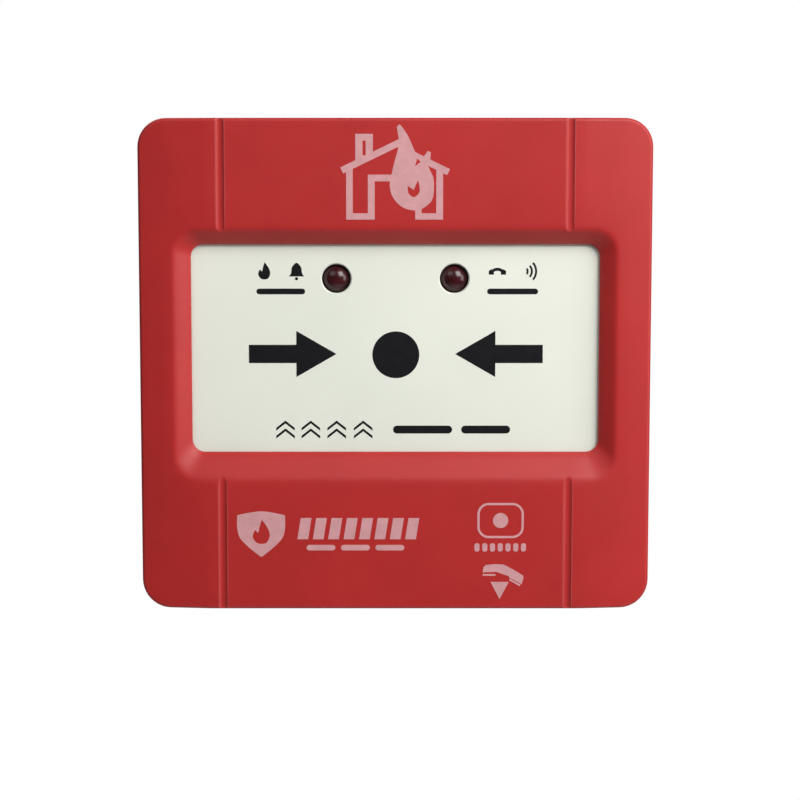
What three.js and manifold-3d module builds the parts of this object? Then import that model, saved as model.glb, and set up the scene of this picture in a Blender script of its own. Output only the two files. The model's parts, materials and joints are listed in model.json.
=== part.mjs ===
// Resettable manual call point: a base that is screwed to a wall box, and a front unit that plugs onto it.
// Frame: millimetres, +X to the right, +Z up, the front faces -Y, and the wall is the plane Y = 0.
// The origin is the centre of the wall face. Ranges are written [low, high] along each axis.
import * as THREE from "three";
import { mergeVertices } from "three/addons/utils/BufferGeometryUtils.js";
import Module from "manifold-3d";

const wasm = await Module();
wasm.setup();

// Driving dimensions
const GAP = 0.3; // between pieces that rest on each other
const WALL = 2.2; // thickness of the moulded shells
const WIDTH = 90;
const HEIGHT = 86.5;
const DEPTH = 44;
const CORNER_RADIUS = 5;
const EDGE_RADIUS = 0.6; // between the front and the sides
const SIDE_FALL = 1.6; // of the bands outside the grooves, at the sides
const BASE_DEPTH = 12;
const BASE_INSET = 0.4; // the base is this much smaller all round than the cover
const SLOT_PITCH = 60; // wall-box screws
const RECESS = { x: [-39, 39], z: [-20.3, 24], radius: 4.2 };
const WINDOW = { x: [-35.95, 35.95], z: [-15.5, 21.25], radius: 2.2 };
const WINDOW_DEPTH = 2.5;
const SLOPE_BACK_DEPTH = 3.1;
const PANEL_DEPTH = 3.7;
const PANEL_THICKNESS = 2;
const PANEL_OVERLAP = 1.2; // how far the panel reaches behind the window's edge
const GROOVE = { x: 30.6, radius: 0.85, topEnd: 23.6, bottomEnd: -19 };
const LAMP = { x: 10.4, z: 15.2, radius: 2.3, hole: 2.65 };
const JACK = { x: 18.5, y: -28, bore: 3.3, bush: 5 };
const KEY = { x: -18.5, y: -25, width: 3, length: 7 };
const PANEL_AXIS = { y: -36.7, z: 20.4 };
const ROCKER_AXIS = { y: -27, z: -16 };
const DRIVE_PIN = { y: -28, z: -9, radius: 0.8 };
const LEVER_AXIS = { x: 9.5, y: -29.9 };
const LEVER_TILT = 7.85; // degrees, from the switch's face at rest
const BOSS = { x: 37.5, z: 36, radius: 3.2 };
const CONTACT = { x: 9, z: 19 };

// Planes that follow from them
const FACE_Y = -DEPTH;
const BASE_FRONT_Y = -BASE_DEPTH;
const COVER_BACK_Y = BASE_FRONT_Y - GAP;
const PANEL_FACE_Y = FACE_Y + PANEL_DEPTH;
const PANEL_BACK_Y = PANEL_FACE_Y + PANEL_THICKNESS;
const CHASSIS_FRONT_Y = COVER_BACK_Y - 1.8;
const BOARD_BACK_Y = CHASSIS_FRONT_Y - 2.3;
const BOARD_FRONT_Y = BOARD_BACK_Y - 1.6;
const ON_BOARD_Y = BOARD_FRONT_Y - GAP;
const FRAME_FRONT_Y = FACE_Y + SLOPE_BACK_DEPTH + GAP;
const FRAME_BACK_Y = FRAME_FRONT_Y + 2.5;
const HALF_W = WIDTH / 2;
const HALF_H = HEIGHT / 2;

// Solids

function solidOf(geometry) {
  const bare = geometry.index ? geometry.toNonIndexed() : geometry.clone();
  bare.deleteAttribute("normal");
  bare.deleteAttribute("uv");
  const merged = mergeVertices(bare, 1e-4);
  return new wasm.Manifold(
    new wasm.Mesh({
      numProp: 3,
      vertProperties: merged.attributes.position.array,
      triVerts: new Uint32Array(merged.index.array),
    }),
  );
}

function geometryOf(solid) {
  const mesh = solid.getMesh();
  const geometry = new THREE.BufferGeometry();
  geometry.setAttribute("position", new THREE.BufferAttribute(mesh.vertProperties, 3));
  geometry.setIndex(new THREE.BufferAttribute(mesh.triVerts, 1));
  geometry.computeVertexNormals();
  return geometry;
}

function union(...solids) {
  return solids.reduce((all, one) => all.add(one));
}

function cut(solid, ...tools) {
  return tools.reduce((rest, tool) => rest.subtract(tool), solid);
}

function box([x0, x1], [y0, y1], [z0, z1]) {
  const geometry = new THREE.BoxGeometry(x1 - x0, y1 - y0, z1 - z0);
  geometry.translate((x0 + x1) / 2, (y0 + y1) / 2, (z0 + z1) / 2);
  return solidOf(geometry);
}

function rodGeometry(radius, [from, to], sides) {
  const geometry = new THREE.CylinderGeometry(radius, radius, to - from, sides);
  geometry.translate(0, (from + to) / 2, 0);
  return geometry;
}

// A round bar along X, Y or Z; place gives the other two coordinates of its axis.
function rodX(radius, span, { y, z }, sides = 20) {
  const geometry = rodGeometry(radius, span, sides).rotateZ(-Math.PI / 2);
  return solidOf(geometry.translate(0, y, z));
}

function rodY(radius, span, { x, z }, sides = 20) {
  return solidOf(rodGeometry(radius, span, sides).translate(x, 0, z));
}

function rodZ(radius, span, { x, y }, sides = 20) {
  const geometry = rodGeometry(radius, span, sides).rotateX(Math.PI / 2);
  return solidOf(geometry.translate(x, y, 0));
}

// One ring of a rounded rectangle in the plane Y = y.
function ringPoints({ x, z, radius, y }) {
  const steps = 5;
  const corners = [
    [x[1] - radius, z[0] + radius, -90],
    [x[1] - radius, z[1] - radius, 0],
    [x[0] + radius, z[1] - radius, 90],
    [x[0] + radius, z[0] + radius, 180],
  ];
  return corners.flatMap(([cx, cz, start]) =>
    Array.from({ length: steps + 1 }, (_, i) => {
      const angle = THREE.MathUtils.degToRad(start + (90 * i) / steps);
      return [cx + radius * Math.cos(angle), y, cz + radius * Math.sin(angle)];
    }),
  );
}

// A closed skin through rounded rectangles, listed from the wall side to the front.
function loft(rings) {
  const loops = rings.map(ringPoints);
  const n = loops[0].length;
  const at = (ring, i) => ring * n + (i % n);
  const index = [];
  for (let ring = 0; ring + 1 < loops.length; ring += 1) {
    for (let i = 0; i < n; i += 1) {
      index.push(at(ring, i), at(ring, i + 1), at(ring + 1, i));
      index.push(at(ring, i + 1), at(ring + 1, i + 1), at(ring + 1, i));
    }
  }
  const last = loops.length - 1;
  for (let i = 1; i + 1 < n; i += 1) {
    index.push(at(0, 0), at(0, i + 1), at(0, i));
    index.push(at(last, 0), at(last, i), at(last, i + 1));
  }
  const geometry = new THREE.BufferGeometry();
  geometry.setAttribute("position", new THREE.Float32BufferAttribute(loops.flat(2), 3));
  geometry.setIndex(index);
  return solidOf(geometry);
}

function roundedPlate(x, z, radius, [back, front]) {
  return loft([
    { x, z, radius, y: back },
    { x, z, radius, y: front },
  ]);
}

function grown([low, high], by) {
  return [low - by, high + by];
}

// A prism along Z whose section is a polygon in the plane XY.
function column(points, [z0, z1]) {
  const shape = new THREE.Shape(points.map(([x, y]) => new THREE.Vector2(x, y)));
  const geometry = new THREE.ExtrudeGeometry(shape, { depth: z1 - z0, bevelEnabled: false });
  return solidOf(geometry.translate(0, 0, z0));
}

// A solid of revolution about an axis along Y; the profile runs [radius, y] towards +Y.
function turned(profile, { x, z }, sides = 20) {
  const points = profile.map(([radius, y]) => new THREE.Vector2(radius, y));
  return solidOf(new THREE.LatheGeometry(points, sides).translate(x, 0, z));
}

// A screw along Y. side is +1 when the head looks to the wall and -1 when it looks to the front.
function screw({ x, z, seat, side, head, headHeight, shank, length }) {
  const headSpan = [seat, seat + side * headHeight].sort((a, b) => a - b);
  const shankSpan = [seat, seat - side * length].sort((a, b) => a - b);
  const top = seat + side * headHeight;
  const slotSpan = [top - side * 0.5 * headHeight, top + side].sort((a, b) => a - b);
  const across = grown([x, x], head * 0.65);
  const thin = grown([x, x], 0.25);
  const body = union(rodY(head, headSpan, { x, z }, 16), rodY(shank, shankSpan, { x, z }, 10));
  return cut(
    body,
    box(across, slotSpan, grown([z, z], 0.25)),
    box(thin, slotSpan, grown([z, z], head * 0.65)),
  );
}

class Helix extends THREE.Curve {
  constructor(radius, turns, height) {
    super();
    Object.assign(this, { radius, turns, height });
  }

  getPoint(t, target = new THREE.Vector3()) {
    const angle = 2 * Math.PI * this.turns * t;
    return target.set(this.radius * Math.cos(angle), this.radius * Math.sin(angle), this.height * t);
  }
}

// A compression spring that stands along Z.
function coilSpring({ x, y, z, radius, wire, turns }) {
  const height = z[1] - z[0] - 2 * wire;
  const section = new THREE.Shape().absarc(0, 0, wire, 0, 2 * Math.PI);
  const options = {
    steps: 14 * turns,
    curveSegments: 3,
    extrudePath: new Helix(radius, turns, height),
  };
  return solidOf(new THREE.ExtrudeGeometry(section, options).translate(x, y, z[0] + wire));
}

// Base

function baseTray() {
  const x = grown([-HALF_W, HALF_W], -BASE_INSET);
  const z = grown([-HALF_H, HALF_H], -BASE_INSET);
  const outside = roundedPlate(x, z, CORNER_RADIUS, [0, BASE_FRONT_Y]);
  const inside = roundedPlate(
    grown(x, -WALL),
    grown(z, -WALL),
    CORNER_RADIUS - WALL,
    [-WALL, BASE_FRONT_Y - 1],
  );
  const entry = roundedPlate([-14, 14], [-9, 9], 3, [1, -WALL - 1]);
  const slots = [-1, 1].map((side) => {
    const centre = (side * SLOT_PITCH) / 2;
    return roundedPlate(grown([centre, centre], 1.95), [-4.5, 4.5], 1.9, [1, -WALL - 1]);
  });
  return cut(outside, inside, entry, ...slots);
}

const TERMINAL_SCREW_Z = 28;

function terminalBlock(side) {
  const z = [22.5, 33].map((value) => value * side).sort((a, b) => a - b);
  const body = box([-18, 18], [-9.8, -WALL - GAP], z);
  const wells = [-1, 1].map((way) =>
    rodY(2.8, [-10.5, -5], { x: way * CONTACT.x, z: side * TERMINAL_SCREW_Z }),
  );
  const shanks = [-1, 1].map((way) =>
    rodY(1.7, [-5.5, -3.2], { x: way * CONTACT.x, z: side * TERMINAL_SCREW_Z }, 12),
  );
  const barrier = box([-1, 1], [-10.5, -7], grown(z, 1));
  return cut(body, ...wells, ...shanks, barrier);
}

function terminalScrew(way, side) {
  return screw({
    x: way * CONTACT.x,
    z: side * TERMINAL_SCREW_Z,
    seat: -5.3,
    side: -1,
    head: 2.3,
    headHeight: 1.8,
    shank: 1.35,
    length: 1.8,
  });
}

function contactClip(way, side) {
  const centre = way * CONTACT.x;
  const z = grown([side * CONTACT.z, side * CONTACT.z], 2.8);
  const outside = box(grown([centre, centre], 1.6), [-9.5, -WALL - GAP], z);
  return cut(outside, box(grown([centre, centre], 1), [-10, -WALL - GAP - 0.6], grown(z, 1)));
}

// Front unit

function coverOutside() {
  const ring = (inset, y) => ({
    x: grown([-HALF_W, HALF_W], -inset),
    z: grown([-HALF_H, HALF_H], -inset),
    radius: CORNER_RADIUS - inset,
    y,
  });
  return loft([
    ring(0, COVER_BACK_Y),
    ring(0, FACE_Y + EDGE_RADIUS),
    ring(0.3 * EDGE_RADIUS, FACE_Y + 0.3 * EDGE_RADIUS),
    ring(EDGE_RADIUS, FACE_Y),
  ]);
}

// The bands outside the two grooves fall away towards the sides.
function sideFall(side) {
  const start = side * (GROOVE.x + 1);
  const end = side * (HALF_W + 1);
  const points = [
    [start, FACE_Y],
    [end, FACE_Y + SIDE_FALL],
    [end, FACE_Y - 1],
    [start, FACE_Y - 1],
  ];
  return column(points, [-HALF_H - 1, HALF_H + 1]);
}

function groove(side) {
  const x = side * GROOVE.x;
  const top = rodZ(GROOVE.radius, [GROOVE.topEnd, HALF_H + 1], { x, y: FACE_Y }, 12);
  const bottom = rodZ(GROOVE.radius, [-HALF_H - 1, GROOVE.bottomEnd], { x, y: FACE_Y }, 12);
  const end = new THREE.SphereGeometry(GROOVE.radius, 12, 8);
  return union(top, bottom, solidOf(end.translate(x, FACE_Y, GROOVE.bottomEnd)));
}

function recessCut() {
  const blend = (share, y) => ({
    x: RECESS.x.map((value, i) => THREE.MathUtils.lerp(value, WINDOW.x[i], share)),
    z: RECESS.z.map((value, i) => THREE.MathUtils.lerp(value, WINDOW.z[i], share)),
    radius: THREE.MathUtils.lerp(RECESS.radius, WINDOW.radius, share),
    y,
  });
  return loft([
    { ...WINDOW, y: FACE_Y + SLOPE_BACK_DEPTH + 1 },
    { ...WINDOW, y: FACE_Y + WINDOW_DEPTH },
    blend(0.86, FACE_Y + 0.82 * WINDOW_DEPTH),
    blend(0.16, FACE_Y + 0.13 * WINDOW_DEPTH),
    blend(-0.06, FACE_Y - 0.1),
  ]);
}

function frameScrewPlaces() {
  return [-1, 1].flatMap((side) => [-20.5, 25].map((z) => ({ x: side * 40.2, z })));
}

function bossPlaces() {
  return [-1, 1].flatMap((side) => [-1, 1].map((up) => ({ x: side * BOSS.x, z: up * BOSS.z })));
}

function frontCover() {
  const cavity = roundedPlate(
    grown([-HALF_W, HALF_W], -WALL),
    grown([-HALF_H, HALF_H], -WALL),
    CORNER_RADIUS - WALL,
    [COVER_BACK_Y + 1, FACE_Y + 2.4],
  );
  const seat = box([-42.9, 42.9], [FACE_Y + 2.3, FACE_Y + SLOPE_BACK_DEPTH], [-23.6, 27.2]);
  const bosses = bossPlaces().map((place) =>
    rodY(BOSS.radius, [FACE_Y + 2.3, CHASSIS_FRONT_Y - GAP], place),
  );
  const bossHoles = bossPlaces().map((place) => rodY(1.2, [-24, CHASSIS_FRONT_Y], place, 12));
  const seatHoles = frameScrewPlaces().map((place) =>
    rodY(1.1, [FACE_Y + 1.4, FACE_Y + SLOPE_BACK_DEPTH + 1], place, 12),
  );
  const jackHole = rodZ(JACK.bush + GAP, [-HALF_H - 1, -HALF_H + WALL + 1], JACK, 24);
  const keySlot = box(
    grown([KEY.x, KEY.x], KEY.width / 2),
    grown([KEY.y, KEY.y], KEY.length / 2),
    [-HALF_H - 1, -HALF_H + WALL + 1],
  );
  const shell = union(coverOutside().subtract(cavity), seat, ...bosses);
  return cut(
    shell,
    sideFall(-1),
    sideFall(1),
    recessCut(),
    groove(-1),
    groove(1),
    ...bossHoles,
    ...seatHoles,
    jackHole,
    keySlot,
  );
}

function boardScrewPlaces() {
  return [
    { x: -29, z: 32 },
    { x: 29, z: -17 },
  ];
}

function rearChassis() {
  const plate = roundedPlate([-42.4, 42.4], [-40.6, 40.6], 2.4, [COVER_BACK_Y, CHASSIS_FRONT_Y]);
  const standoffs = boardScrewPlaces().map((place) =>
    rodY(2.6, [BOARD_BACK_Y + GAP, CHASSIS_FRONT_Y + 0.5], place),
  );
  const standoffHoles = boardScrewPlaces().map((place) =>
    rodY(1.2, [BOARD_BACK_Y - 1, CHASSIS_FRONT_Y], place, 12),
  );
  const screwHoles = bossPlaces().map((place) =>
    rodY(1.3, [CHASSIS_FRONT_Y - 1, COVER_BACK_Y + 1], place, 12),
  );
  const slots = [-1, 1].flatMap((way) =>
    [-1, 1].map((side) =>
      box(
        grown([way * CONTACT.x, way * CONTACT.x], 0.9),
        [CHASSIS_FRONT_Y - 1, COVER_BACK_Y + 1],
        grown([side * CONTACT.z, side * CONTACT.z], 3.2),
      ),
    ),
  );
  return cut(union(plate, ...standoffs), ...standoffHoles, ...screwHoles, ...slots);
}

function coverScrew(place) {
  return screw({
    ...place,
    seat: COVER_BACK_Y + GAP,
    side: 1,
    head: 2.2,
    headHeight: 1.4,
    shank: 0.9,
    length: 10,
  });
}

function circuitBoard() {
  const board = box([-33.5, 33.5], [BOARD_FRONT_Y, BOARD_BACK_Y], [-38, 36]);
  const holes = boardScrewPlaces().map((place) =>
    rodY(1.3, [BOARD_FRONT_Y - 1, BOARD_BACK_Y + 1], place, 12),
  );
  return cut(board, ...holes);
}

function boardScrew(place) {
  return screw({
    ...place,
    seat: ON_BOARD_Y,
    side: -1,
    head: 2,
    headHeight: 1.3,
    shank: 0.9,
    length: 3.6,
  });
}

function contactBlade(way, side) {
  const centre = way * CONTACT.x;
  const z = side * CONTACT.z;
  return box(grown([centre, centre], 0.4), [BOARD_BACK_Y + GAP, -5], grown([z, z], 2.6));
}

const LAMP_FLANGE_Y = -32.1;

function signalLamp(side) {
  const x = side * LAMP.x;
  const tip = FACE_Y + 3;
  const dome = LAMP.radius * 0.8;
  const arc = Array.from({ length: 6 }, (_, i) => {
    const angle = (Math.PI / 2) * (i / 5);
    return [LAMP.radius * Math.sin(angle), tip + dome * (1 - Math.cos(angle))];
  });
  arc[0][0] = 0;
  const bulb = turned(
    [
      ...arc,
      [LAMP.radius, LAMP_FLANGE_Y - 1],
      [2.8, LAMP_FLANGE_Y - 1],
      [2.8, LAMP_FLANGE_Y],
      [0, LAMP_FLANGE_Y],
    ],
    { x, z: LAMP.z },
    24,
  );
  const legs = [-1, 1].map((leg) => {
    const centre = x + leg * 1.27;
    const z = grown([LAMP.z, LAMP.z], 0.25);
    return box(grown([centre, centre], 0.25), [LAMP_FLANGE_Y - 0.2, ON_BOARD_Y], z);
  });
  return union(bulb, ...legs);
}

function lampSpacer(side) {
  const place = { x: side * LAMP.x, z: LAMP.z };
  const span = [LAMP_FLANGE_Y + GAP, ON_BOARD_Y];
  return rodY(2.9, span, place, 24).subtract(rodY(1.9, grown(span, 1), place));
}

// The frame behind the window carries the panel's hinge rod, the rocker's pin and the toggle's seat.
function supportFrame() {
  const back = FRAME_BACK_Y;
  const plate = cut(
    roundedPlate([-42.2, 42.2], [-23.4, 27], 2, [back, FRAME_FRONT_Y]),
    roundedPlate([-38.2, 38.2], [-17.6, 22.9], 2, [back + 1, FRAME_FRONT_Y - 1]),
    ...frameScrewPlaces().map((place) => rodY(1.1, [FRAME_FRONT_Y - 1, back + 1], place, 12)),
  );
  const hingeEars = [-1, 1].map((side) => {
    const inner = [35.2 * side, 41 * side].sort((a, b) => a - b);
    const outer = [38.6 * side, 41 * side].sort((a, b) => a - b);
    const bore = [34 * side, 37.9 * side].sort((a, b) => a - b);
    const arm = box(inner, [back + 0.3, -33.6], [18, 22.8]);
    const root = box(outer, [back - 0.5, -33.6], [18, 22.8]);
    return union(arm, root).subtract(rodX(1.3, bore, PANEL_AXIS));
  });
  const rockerEars = [
    [-24.4, -22.4],
    [4.2, 6.2],
  ].map((x) => {
    const foot = box(x, [back - 0.5, -33], [-21, -17.9]);
    const ear = box(x, [-33.6, -24.6], [-21, -13.5]);
    return union(foot, ear).subtract(rodX(1.25, grown(x, 1), ROCKER_AXIS));
  });
  const toggleArm = box([-3, 3], [back - 0.5, -35], [-33, -20]);
  const toggleSeat = box([-3, 3], [-36, -24.5], [-33, -31]);
  return union(plate, ...hingeEars, ...rockerEars, toggleArm, toggleSeat);
}

function frameScrew(place) {
  return screw({
    ...place,
    seat: FRAME_BACK_Y + GAP,
    side: 1,
    head: 1.7,
    headHeight: 1.1,
    shank: 0.8,
    length: 4.2,
  });
}

function hingeRod() {
  return rodX(1, [-37.4, 37.4], PANEL_AXIS, 16);
}

function rockerPin() {
  return rodX(0.95, [-24.2, 6], ROCKER_AXIS, 16);
}

const SWITCH = { x: [8, 27.8], z: [-11.6, -4.4], top: -28.6, plunger: 13.5 };

function microswitchBody() {
  const body = box(SWITCH.x, [SWITCH.top, ON_BOARD_Y], SWITCH.z);
  const ears = [
    [-11.6, -10.8],
    [-5.2, -4.4],
  ].map((z) => box([8.3, 10.7], [-31, SWITCH.top + 1], z));
  const pinHole = rodZ(0.8, grown(SWITCH.z, 1), LEVER_AXIS, 12);
  const plungerHole = rodY(1.2, [SWITCH.top - 1, -24.5], { x: SWITCH.plunger, z: -8 }, 12);
  return cut(union(body, ...ears), pinHole, plungerHole);
}

function jackBody() {
  const body = box([11.5, 25.5], [-34, ON_BOARD_Y], [-40.5, -22]);
  return body.subtract(rodZ(JACK.bore, [-41, -24], JACK, 24));
}

function jackBush() {
  const span = [-HALF_H, -40.8];
  return rodZ(JACK.bush, span, JACK, 24).subtract(rodZ(JACK.bore, grown(span, 1), JACK, 24));
}

// A bent strip at the end of the socket that the tip of a plug pushes aside.
function jackTipContact() {
  const bends = [
    [-2.6, -24.4],
    [-1.2, -24.4],
    [1.4, -27],
    [0.6, -29],
    [0.2, -28.8],
    [0.8, -27],
    [-1.4, -24.8],
    [-2.6, -24.8],
  ];
  const shape = new THREE.Shape(bends.map(([y, z]) => new THREE.Vector2(y + JACK.y, z)));
  const strip = new THREE.ExtrudeGeometry(shape, { depth: 2.4, bevelEnabled: false });
  const turn = new THREE.Matrix4().makeBasis(
    new THREE.Vector3(0, 1, 0),
    new THREE.Vector3(0, 0, 1),
    new THREE.Vector3(1, 0, 0),
  );
  return solidOf(strip.applyMatrix4(turn).translate(JACK.x - 1.2, 0, 0));
}

function resetGuide() {
  const channel = box([-21.2, -15.8], [-28.8, ON_BOARD_Y], [-38, -33.2]);
  const passage = box([-19.95, -17.05], [-27.55, -21.85], [-39, -32]);
  const back = box([-21.2, -12.6], [-19.8, ON_BOARD_Y], [-38, -19.6]);
  const lug = box([-17, -12.6], [-26.2, ON_BOARD_Y], [-21.3, -19.6]);
  return union(channel.subtract(passage), back, lug);
}

function chip() {
  return box([-8, 0], [ON_BOARD_Y - 1.8, ON_BOARD_Y], [24, 31]);
}

function capacitor() {
  return rodY(3, [ON_BOARD_Y - 8, ON_BOARD_Y], { x: 22, z: 28 });
}

// Press panel: hinged along its top edge, so the lower part moves inwards

function pressPanel() {
  const x = grown(WINDOW.x, PANEL_OVERLAP);
  const z = grown(WINDOW.z, PANEL_OVERLAP);
  const plate = loft([
    { x, z, radius: 2.6, y: PANEL_BACK_Y },
    { x, z, radius: 2.6, y: PANEL_FACE_Y + 0.3 },
    { x: grown(x, -0.3), z: grown(z, -0.3), radius: 2.3, y: PANEL_FACE_Y },
  ]);
  const lampHoles = [-1, 1].map((side) =>
    rodY(LAMP.hole, [PANEL_FACE_Y - 1, PANEL_BACK_Y + 1], { x: side * LAMP.x, z: LAMP.z }, 28),
  );
  const lugs = [-33, 33].map((centre) => {
    const span = grown([centre, centre], 1.5);
    const foot = box(span, [PANEL_BACK_Y - 0.4, PANEL_AXIS.y], [18.2, 22]);
    return union(foot, rodX(2.2, span, PANEL_AXIS)).subtract(rodX(1.3, grown(span, 1), PANEL_AXIS));
  });
  const driveEars = [
    [-3.8, -2.4],
    [2.4, 3.8],
  ].map((span) => {
    const ear = box(span, [PANEL_BACK_Y - 0.4, DRIVE_PIN.y + 1.8], [-11, -7]);
    return ear.subtract(rodX(DRIVE_PIN.radius + GAP, grown(span, 1), DRIVE_PIN));
  });
  const post = box([23.2, 24.8], [PANEL_BACK_Y - 0.4, -32.5], [-9, -7]);
  return union(cut(plate, ...lampHoles), ...lugs, ...driveEars, post);
}

function drivePin() {
  return rodX(DRIVE_PIN.radius, [-3.8, 3.8], DRIVE_PIN, 12);
}

// The rocker snaps over its centre: its fork follows the drive pin, and the key lifts its rear arm.
function rocker() {
  const hubSpan = [-21.9, 3.7];
  const rise = DRIVE_PIN.z - ROCKER_AXIS.z;
  const tilt = Math.atan2(ROCKER_AXIS.y - DRIVE_PIN.y, rise);
  const upright = cut(
    box([-1.5, 1.5], [-2.25, 2.25], [0, rise + 2]),
    box([-2, 2], [-1.05, 1.05], [rise - 1.1, rise + 3]),
  );
  const tail = box([-1.5, 1.5], [-1.2, 1.2], [-4, 0]);
  const fork = union(upright, tail)
    .rotate([THREE.MathUtils.radToDeg(tilt), 0, 0])
    .translate([0, ROCKER_AXIS.y, ROCKER_AXIS.z]);
  const arm = box([-19.6, -17.4], [ROCKER_AXIS.y, -21.4], [-17, -15]);
  const hub = rodX(2.2, hubSpan, ROCKER_AXIS);
  return union(hub, fork, arm).subtract(rodX(1.25, grown(hubSpan, 1), ROCKER_AXIS, 16));
}

function toggleSpring() {
  return coilSpring({ x: 0, y: -26.6, z: [-30.7, -20.4], radius: 1.6, wire: 0.28, turns: 6 });
}

function switchLever() {
  const z = [-10.4, -5.6];
  const leaf = box([0, 17], [-0.2, 0.2], z);
  const curl = rodZ(0.7, z, { x: 0, y: 0 }, 12);
  const stub = rodZ(0.5, [-11.3, -4.7], { x: 0, y: 0 }, 12);
  return union(leaf, curl, stub)
    .rotate([0, 0, -LEVER_TILT])
    .translate([LEVER_AXIS.x, LEVER_AXIS.y, 0]);
}

function switchPlunger() {
  return rodY(0.9, [-29.95, -25.4], { x: SWITCH.plunger, z: -8 }, 12);
}

function resetSlide() {
  const blade = box([-19.6, -17.4], [-27.2, -22.2], [-39.5, -22.4]);
  const lug = box([-18, -12.8], [-26, -23.4], [-31.6, -30]);
  return union(blade, lug);
}

function resetSpring() {
  return coilSpring({ x: -14.9, y: -24.7, z: [-29.7, -21.6], radius: 1.5, wire: 0.25, turns: 5 });
}

// Assembly

function finish(colour, roughness, metalness = 0) {
  return new THREE.MeshStandardMaterial({ color: new THREE.Color(colour), roughness, metalness });
}

const RED = finish("#b23232", 0.45);
const WHITE = finish("#dce0d6", 0.4);
const LENS = finish("#3a1216", 0.15);
const BLACK = finish("#1c1c1e", 0.5);
const GREY = finish("#8b8d8c", 0.5);
const GREEN = finish("#2e6b45", 0.45);
const STEEL = finish("#a9acb0", 0.3, 1);
const BRASS = finish("#c39a4a", 0.3, 1);

const assembly = new THREE.Group();

function place(name, solid, material) {
  const mesh = new THREE.Mesh(geometryOf(solid), material);
  mesh.name = name;
  assembly.add(mesh);
}

place("base_tray", baseTray(), RED);
place("terminal_block_upper", terminalBlock(1), BLACK);
place("terminal_block_lower", terminalBlock(-1), BLACK);
let contactNumber = 0;
for (const side of [1, -1]) {
  for (const way of [-1, 1]) {
    contactNumber += 1;
    place(`terminal_screw_${contactNumber}`, terminalScrew(way, side), STEEL);
    place(`contact_clip_${contactNumber}`, contactClip(way, side), BRASS);
    place(`contact_blade_${contactNumber}`, contactBlade(way, side), BRASS);
  }
}

place("front_cover", frontCover(), RED);
place("rear_chassis", rearChassis(), GREY);
bossPlaces().forEach((at, i) => place(`cover_screw_${i + 1}`, coverScrew(at), STEEL));
place("circuit_board", circuitBoard(), GREEN);
boardScrewPlaces().forEach((at, i) => place(`board_screw_${i + 1}`, boardScrew(at), STEEL));
place("chip", chip(), BLACK);
place("capacitor", capacitor(), BLACK);
for (const [name, side] of [["left", -1], ["right", 1]]) {
  place(`signal_lamp_${name}`, signalLamp(side), LENS);
  place(`lamp_spacer_${name}`, lampSpacer(side), BLACK);
}
place("support_frame", supportFrame(), GREY);
frameScrewPlaces().forEach((at, i) => place(`frame_screw_${i + 1}`, frameScrew(at), STEEL));
place("hinge_rod", hingeRod(), STEEL);
place("rocker_pin", rockerPin(), STEEL);
place("toggle_spring", toggleSpring(), STEEL);
place("microswitch_body", microswitchBody(), BLACK);
place("jack_body", jackBody(), BLACK);
place("jack_bush", jackBush(), STEEL);
place("jack_tip_contact", jackTipContact(), BRASS);
place("reset_guide", resetGuide(), GREY);
place("reset_spring", resetSpring(), STEEL);

place("press_panel", pressPanel(), WHITE);
place("drive_pin", drivePin(), STEEL);
place("rocker", rocker(), GREY);
place("switch_lever", switchLever(), STEEL);
place("switch_plunger", switchPlunger(), RED);
place("reset_slide", resetSlide(), GREY);

export default assembly;
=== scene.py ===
"""The looks of a manual call point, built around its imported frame.

It makes fine shells, lamps, springs, printed symbols and materials. Outlines are written in
millimetres and become metres in mesh_object(). The front faces -Y and +Z is up.
"""

import json
import math

import bmesh
import bpy
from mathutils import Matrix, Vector
from mathutils.geometry import delaunay_2d_cdt


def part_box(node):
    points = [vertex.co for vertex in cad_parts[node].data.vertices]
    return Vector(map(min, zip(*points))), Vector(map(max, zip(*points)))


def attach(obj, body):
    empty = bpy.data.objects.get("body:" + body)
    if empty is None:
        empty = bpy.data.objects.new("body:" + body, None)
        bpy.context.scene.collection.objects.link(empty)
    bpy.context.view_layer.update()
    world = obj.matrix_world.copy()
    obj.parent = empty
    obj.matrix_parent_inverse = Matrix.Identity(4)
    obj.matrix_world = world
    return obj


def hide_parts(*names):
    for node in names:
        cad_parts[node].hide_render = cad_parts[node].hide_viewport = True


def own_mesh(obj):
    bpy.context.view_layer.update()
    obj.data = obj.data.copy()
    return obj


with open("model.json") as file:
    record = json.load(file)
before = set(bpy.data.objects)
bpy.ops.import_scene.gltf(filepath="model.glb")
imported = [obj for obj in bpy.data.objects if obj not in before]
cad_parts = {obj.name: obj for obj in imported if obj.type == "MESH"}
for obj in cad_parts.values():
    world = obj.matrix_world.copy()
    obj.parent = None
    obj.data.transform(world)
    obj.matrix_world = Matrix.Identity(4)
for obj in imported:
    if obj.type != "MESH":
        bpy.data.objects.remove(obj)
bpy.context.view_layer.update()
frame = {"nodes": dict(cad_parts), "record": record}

MM = 0.001


# Places from the frame, in millimetres

def node_box(node):
    low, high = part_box(node)
    return low / MM, high / MM


def node_centre(node):
    low, high = node_box(node)
    return (low + high) / 2


COVER_LOW, COVER_HIGH = node_box("front_cover")
BASE_LOW, BASE_HIGH = node_box("base_tray")
PANEL_LOW, _ = node_box("press_panel")
HALF_W = COVER_HIGH.x
HALF_H = COVER_HIGH.z
FACE_Y = COVER_LOW.y
COVER_BACK_Y = COVER_HIGH.y
LAMP_CENTRES = {side: node_centre(f"signal_lamp_{side}") for side in ("left", "right")}
LAMP_LOW, LAMP_HIGH = node_box("signal_lamp_left")
JACK_LOW, JACK_HIGH = node_box("jack_bush")
JACK = node_centre("jack_bush")
KEY = node_centre("reset_slide")

# Shapes that the frame doesn't give

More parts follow.
